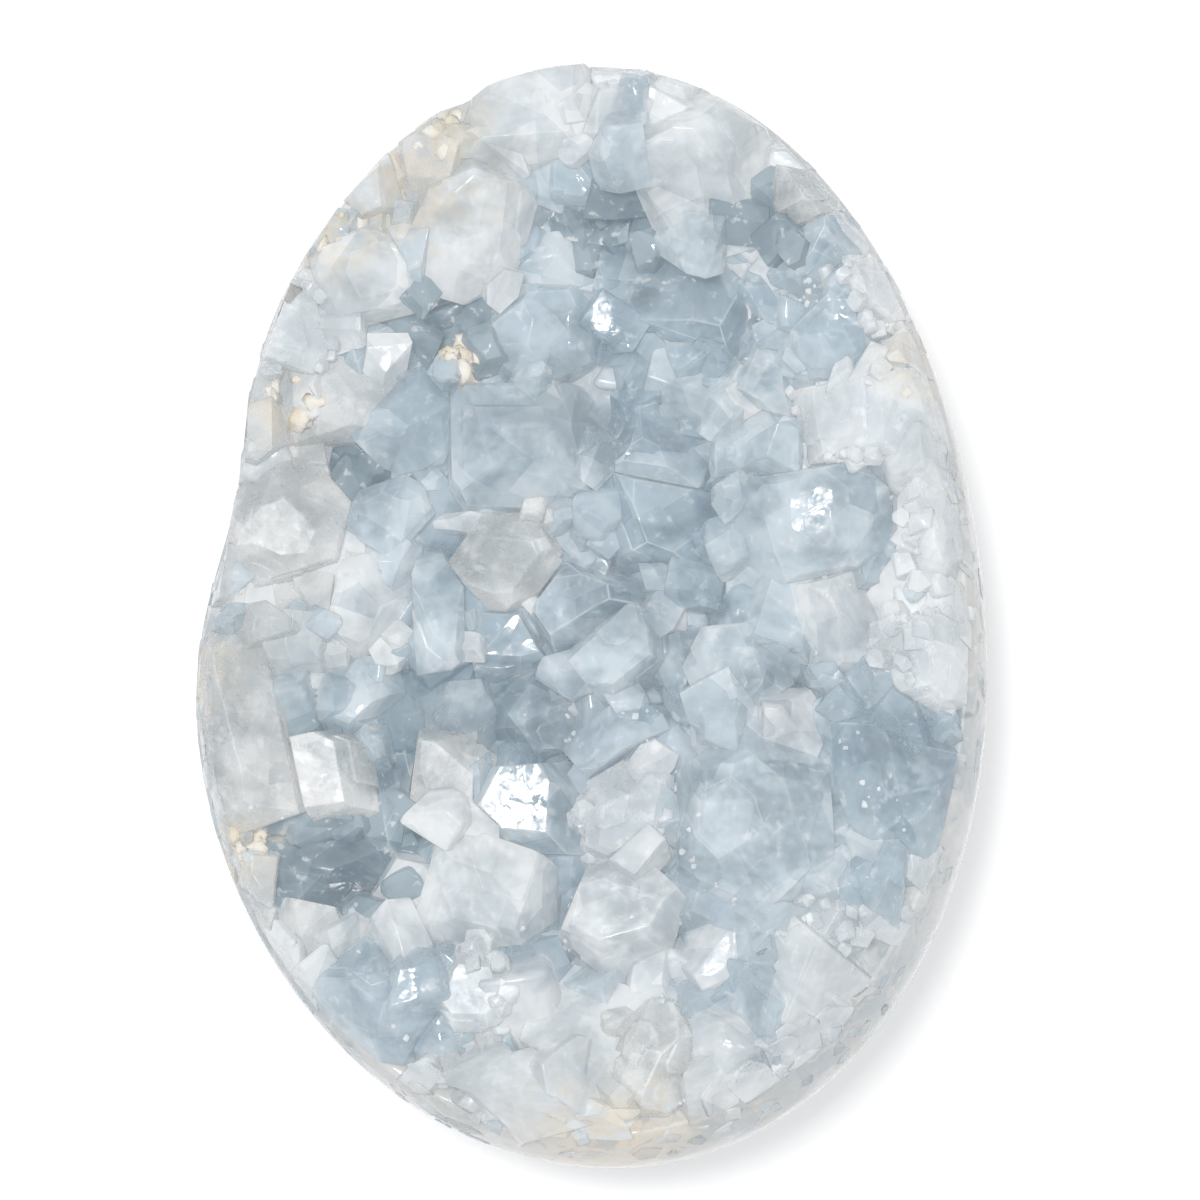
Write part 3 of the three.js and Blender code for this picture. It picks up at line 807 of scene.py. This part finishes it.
# crystals of the lip that were ground off flush with the polished outside
lip = {
    "tries": 1800, "within": 60, "outside": 0.985, "below": 8, "width": (1.6, 3.8), "apart": 0.36,
    "lean": 0.35, "foot": 0.8, "flat": (0.5, 1), "proud": 1.0016,
    "tones": {"light": 0.3, "frost": 0.3, "pale": 0.16, "mid": 0.1, "warm": 0.14},
}
cutHere = {tone: [] for tone in celestiteTones}


def fillLip():
    taken = np.zeros((0, 4))
    for _ in range(lip["tries"]):
        x, y, hit, normal = wallBelow(lip["within"])
        if hit is None or eggFullness(*hit) < lip["outside"] or hit.z < float(rimLevel(x, y)) - lip["below"]:
            continue
        width = dice.uniform(*lip["width"])
        if not isFree(taken, hit, width, lip["apart"]):
            continue
        taken = np.vstack([taken, [*hit, width]])
        axis = normal + randomWay(lip["lean"])
        depth = lip["foot"] * width
        tone = pickTone(lip["tones"])
        form, flat = dice.choice(forms), dice.uniform(*lip["flat"])
        cutHere[tone].append(standing(form, hit - axis.normalized() * depth, axis, width, 2 * depth, flat))


fillLining()
fillLip()
print("lining grown:", {tone: len(grown) for tone, grown in standingHere.items()})


def trianglesOf(name):
    mesh = frame["nodes"][name].data
    points = np.array([v.co for v in mesh.vertices]) / mm
    corners = points[[polygon.vertices[:] for polygon in mesh.polygons]]
    crosses = np.cross(corners[:, 1] - corners[:, 0], corners[:, 2] - corners[:, 0])
    areas = np.linalg.norm(crosses, axis=1)
    return corners, crosses / np.maximum(areas[:, None], 1e-9), areas


footDepth = 0.97  # how full of the egg a foothold may be


# points on a crystal's facets that lean as far as the limits say, with the facet's normal
def footholds(name, count, leans):
    corners, normals, areas = trianglesOf(name)
    weights = [a if leans[0] < n[2] < leans[1] else 0 for a, n in zip(areas, normals)]
    if sum(weights) == 0:
        return
    for pick in dice.choices(range(len(areas)), weights, k=count):
        one, two = sorted((dice.random(), dice.random()))
        foot = corners[pick].T @ np.array([one, two - one, 1 - two])
        if eggFullness(*foot) < footDepth:
            yield Vector(foot), Vector(normals[pick])


# companions: crystals of middle size that grew out of the flanks of the large ones
companion = {
    "count": 7, "leans": (-0.3, 0.55), "below": (0.25, 0.8), "up": 0.8, "lean": 0.35, "width": (0.28, 0.52),
    "long": (0.6, 1.3), "top": 0.85, "over": 0.8, "flat": (0.6, 1), "own": 0.6,
    "others": ("light", "pale", "mid"),
}


def growCompanions(name, tone):
    low, high = (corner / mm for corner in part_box(name))
    size = min(high.x - low.x, high.y - low.y)
    for foot, normal in footholds(name, companion["count"], companion["leans"]):
        depth = (high.z - foot.z) / (high.z - low.z)
        if not companion["below"][0] < depth < companion["below"][1]:
            continue
        axis = normal + Vector((0, 0, companion["up"])) + randomWay(companion["lean"])
        width = size * dice.uniform(*companion["width"])
        room = companion["top"] * (high.z - foot.z) + companion["over"]
        length = min(width * dice.uniform(*companion["long"]), room)
        tip = foot + axis.normalized() * length
        if eggFullness(*tip) > lining["outmost"]:
            continue
        form, flat = dice.choice(forms), dice.uniform(*companion["flat"])
        grown = standing(form, foot, axis, width, length, flat)
        grownTone = tone if dice.random() < companion["own"] else dice.choice(companion["others"])
        # companions in a shaded place take the darkest tone, as painted shade
        standingHere["painted_shade_gap" if inPaintedShade(tip, (foot + tip) / 2) else grownTone].append(grown)


# sugar: fine crystals in patches on the flanks, and over most of the frosted ones
sugar = {"leans": (-0.3, 0.8), "patch": 0.22, "up": 0.4, "lean": 0.5, "fineness": 1.3, "tall": (0.4, 0.9)}
sugarOn = {
    "frosted": {"count": 90, "bareness": -0.05, "width": (0.9, 2.1)},
    "clear": {"count": 60, "bareness": 0.22, "width": (0.35, 0.8), "below": -8, "beyond": 22},
}


def sprinkleSugar(name, frosted):
    here = sugarOn["frosted" if frosted else "clear"]
    for foot, normal in footholds(name, here["count"], sugar["leans"]):
        bare = not frosted and foot.y > here["below"] and foot.x < here["beyond"]
        if bare or inPaintedShade(foot) or noise.noise(foot * sugar["patch"]) < here["bareness"]:
            continue
        axis = normal + Vector((0, 0, sugar["up"])) + randomWay(sugar["lean"])
        width = dice.uniform(*here["width"]) ** sugar["fineness"]
        grown = standing(dice.choice(forms), foot, axis, width, width * dice.uniform(*sugar["tall"]))
        standingHere["frost"].append(grown)


for name, tone in toneOf.items():
    if name not in lowCrystals + bareCrystals:
        growCompanions(name, tone)
        sprinkleSugar(name, tone == "frost")


def groundAndJoined(tone):
    grown = [(groundToEgg(points, ground["small"]), faces) for points, faces in standingHere[tone]]
    cut = [(groundToEgg(points, lip["proud"]), faces) for points, faces in cutHere[tone]]
    return joined(grown + cut)


smallCrystals = {tone: groundAndJoined(tone) for tone, grown in standingHere.items() if grown}
for tone, (points, faces) in smallCrystals.items():
    slot = celestiteTones[tone]["slot"]
    piece = addPiece(tone + "_small_crystals", points, faces, smallFinishes[tone], slot)
    softenNormals(piece)
    print(tone, "small crystals:", len(faces), "faces")

# cream matrix between the crystals, by pixel of the photograph, with the spread and count of its lumps
matrixSpots = [
    {"pixel": (468, 360), "spread": 1.5, "count": 18}, {"pixel": (250, 845), "spread": 2, "count": 14},
    {"pixel": (425, 145), "spread": 5, "count": 7}, {"pixel": (340, 240), "spread": 3, "count": 5},
    {"pixel": (292, 405), "spread": 2.6, "count": 4}, {"pixel": (915, 370), "spread": 2.6, "count": 5},
]
matrixLump = {
    "radius": (0.5, 1.5), "flat": 0.45, "rough": 0.9, "sink": 0.3, "grain": 1.6, "fractal": (0.6, 2, 4),
}


def matrixLumps():
    lumps = []
    grounds = [wallTree, crystalTree]
    grounds += [BVHTree.FromPolygons(points.tolist(), faces) for points, faces in smallCrystals.values()]
    ball = bmesh.new()
    bmesh.ops.create_icosphere(ball, subdivisions=2, radius=1)
    ballPoints, ballFaces = arraysOf(ball)
    ball.free()
    for spot in matrixSpots:
        for _ in range(spot["count"]):
            x, y = (c + dice.gauss(0, spot["spread"] / 2) for c in atPixel(*spot["pixel"]))
            hits = [metBelow(tree, x, y)[0] for tree in grounds]
            hits = [hit.z for hit in hits if hit is not None]
            if not hits:
                continue
            radius = dice.uniform(*matrixLump["radius"])
            shift = randomWay(20)
            places = [Vector(point) * matrixLump["grain"] + shift for point in ballPoints]
            swell = np.array([noise.fractal(place, *matrixLump["fractal"]) for place in places])
            push = 1 + matrixLump["rough"] * swell
            points = ballPoints * push[:, None] * radius * np.array((1, 1, matrixLump["flat"]))
            points += np.array((x, y, max(hits) - matrixLump["sink"] * radius))
            lumps.append((groundToEgg(points, ground["matrix"]), ballFaces))
    points, faces = joined(lumps)
    addPiece("matrix_lumps", points, faces, matrixFinish(), "polished_wall")
    print("matrix lumps:", len(lumps))


matrixLumps()

# veils and healed cracks sealed inside the large crystals
veil = {
    "each": 2, "share": 0.75, "spokes": 28, "rings": 7, "inset": 0.62, "wave": 0.4, "waves": 0.35,
    "thick": 0.03,
}


def veilSheet(bm):
    middle = sum((v.co for v in bm.verts), Vector()) / len(bm.verts)
    way = randomWay().normalized()
    cut = bm.copy()
    whole = cut.verts[:] + cut.edges[:] + cut.faces[:]
    made = bmesh.ops.bisect_plane(cut, geom=whole, plane_co=middle, plane_no=way)
    outline = [e for e in made["geom_cut"] if isinstance(e, bmesh.types.BMVert)]
    across = way.orthogonal().normalized()
    over = way.cross(across)
    arms = [v.co - middle for v in outline]
    spokes = sorted((math.atan2(arm.dot(over), arm.dot(across)), arm.length) for arm in arms)
    cut.free()
    if len(spokes) < 3:
        return None
    count, rings = veil["spokes"], veil["rings"]
    turns = np.linspace(-math.pi, math.pi, count, endpoint=False)
    reaches = np.interp(turns, [s[0] for s in spokes], [s[1] for s in spokes], period=2 * math.pi)
    shift = randomWay(30)
    sheet = [(0, 0)] + [(t, r * (k + 1) / rings) for k in range(rings) for t, r in zip(turns, reaches)]
    points = []
    for turn, reach in sheet:
        place = middle + (across * math.cos(turn) + over * math.sin(turn)) * reach * veil["inset"]
        points.append(place + way * veil["wave"] * noise.noise(place * veil["waves"] + shift))
    faces = [[0, 1 + i, 1 + (i + 1) % count] for i in range(count)]
    for k in range(rings - 1):
        low, high = 1 + k * count, 1 + (k + 1) * count
        for i in range(count):
            j = (i + 1) % count
            faces.append([low + i, high + i, high + j, low + j])
    front, back = np.array(points), np.array(points) - np.array(way * veil["thick"])
    start, edge = len(points), 1 + (rings - 1) * count
    rim = [(edge + i, edge + (i + 1) % count) for i in range(count)]
    sides = [[here, here + start, after + start, after] for here, after in rim]
    return np.concatenate([front, back]), faces + [[i + start for i in f[::-1]] for f in faces] + sides


def sealVeils():
    sheets = []
    for name in crystalNames:
        bm = solidOf(frame["nodes"][name])
        for _ in range(veil["each"]):
            if dice.random() < veil["share"]:
                sheet = veilSheet(bm)
                if sheet:
                    sheets.append(sheet)
        bm.free()
    points, faces = joined(sheets)
    points = groundToEgg(points, ground["veils"])
    addPiece("inner_veils", points, faces, veilFinish(), "frosted_celestite")
    print("veils sealed in:", len(sheets))


sealVeils()

# a white floor, a bright room, a key lamp, lamps that are seen only as glints, and the camera straight above
stage = {"floor": 3, "room": 0.765, "roomDim": 0.665, "brightSide": (-0.5, 0.5, 0.7)}
lamps = {
    "key": {"at": (-0.085, 0.1, 1), "size": 0.1, "watts": 3.9, "glints": False},
    "mirror_glint": {"at": (-0.106, 0.378, 1.01), "size": 0.1, "watts": 1.9, "glints": True},
    "left_glint": {"at": (-0.5, 0.3, 0.9), "size": 0.06, "watts": 0.45, "glints": True},
    "right_glint": {"at": (0.4, 0.1, 0.95), "size": 0.06, "watts": 0.45, "glints": True},
}
camera = {"lens": 150, "sensor": 36}


def setStage():
    half = stage["floor"] / 2
    mesh = bpy.data.meshes.new("floor")
    corners = [(-half, -half, 0), (half, -half, 0), (half, half, 0), (-half, half, 0)]
    mesh.from_pydata(corners, [], [[0, 1, 2, 3]])
    f = Finish("white_floor")
    paper = f.node("BsdfPrincipled", {}, {"Base Color": paint(255, 255, 255), "Roughness": 0.9})
    f.node("OutputMaterial", {}, {"Surface": paper})
    mesh.materials.append(f.material)
    floor = bpy.data.objects.new("floor", mesh)
    bpy.context.scene.collection.objects.link(floor)

    world = bpy.data.worlds.new("bright_room")
    world.use_nodes = True
    bpy.context.scene.world = world
    w = Finish("room", world.node_tree)
    way = w.node("TexCoord", out="Generated")
    brightSide = Vector(stage["brightSide"]).normalized()
    lit = w.node("VectorMath", {"operation": "DOT_PRODUCT"}, {0: way, 1: brightSide}, out="Value")
    glow = w.ramp(lit, -0.6, 0.9, stage["roomDim"], stage["room"])
    air = w.node("Background", {}, {"Color": (0.98, 0.99, 1, 1), "Strength": glow})
    w.node("OutputWorld", {}, {"Surface": air})

    for name, lamp in lamps.items():
        light = bpy.data.lights.new(name, "AREA")
        light.energy, light.size = lamp["watts"], lamp["size"]
        holder = bpy.data.objects.new(name, light)
        holder.location = lamp["at"]
        holder.rotation_euler = Vector(lamp["at"]).to_track_quat("Z", "Y").to_euler()
        holder.visible_glossy, holder.visible_diffuse = lamp["glints"], not lamp["glints"]
        bpy.context.scene.collection.objects.link(holder)


def setCamera():
    data = bpy.data.cameras.new("camera")
    data.lens, data.sensor_width = camera["lens"], camera["sensor"]
    eye = bpy.data.objects.new("camera", data)
    x, y = atPixel(photo["side"] / 2, photo["side"] / 2)
    width = photo["side"] / photo["scale"]  # of the view, at the egg's widest outline
    eye.location = Vector((x, y, equator + width * camera["lens"] / camera["sensor"])) * mm
    bpy.context.scene.collection.objects.link(eye)
    bpy.context.scene.camera = eye


setStage()
setCamera()
scene = bpy.context.scene
scene.view_settings.view_transform = "Standard"
scene.view_settings.gamma = 1.15
scene.cycles.max_bounces = 7
scene.cycles.transmission_bounces = 5
scene.cycles.transparent_max_bounces = 6
scene.cycles.sample_clamp_indirect = 6
scene.cycles.use_adaptive_sampling = True
scene.cycles.adaptive_threshold = 0.2
scene.cycles.adaptive_min_samples = 16
scene.cycles.use_denoising = True
scene.cycles.use_fast_gi = True
scene.cycles.fast_gi_method = "REPLACE"
scene.cycles.ao_bounces_render = 1
scene.world.light_settings.distance = 0.00003
scene.world.light_settings.ao_factor = 1
print("stage lit")
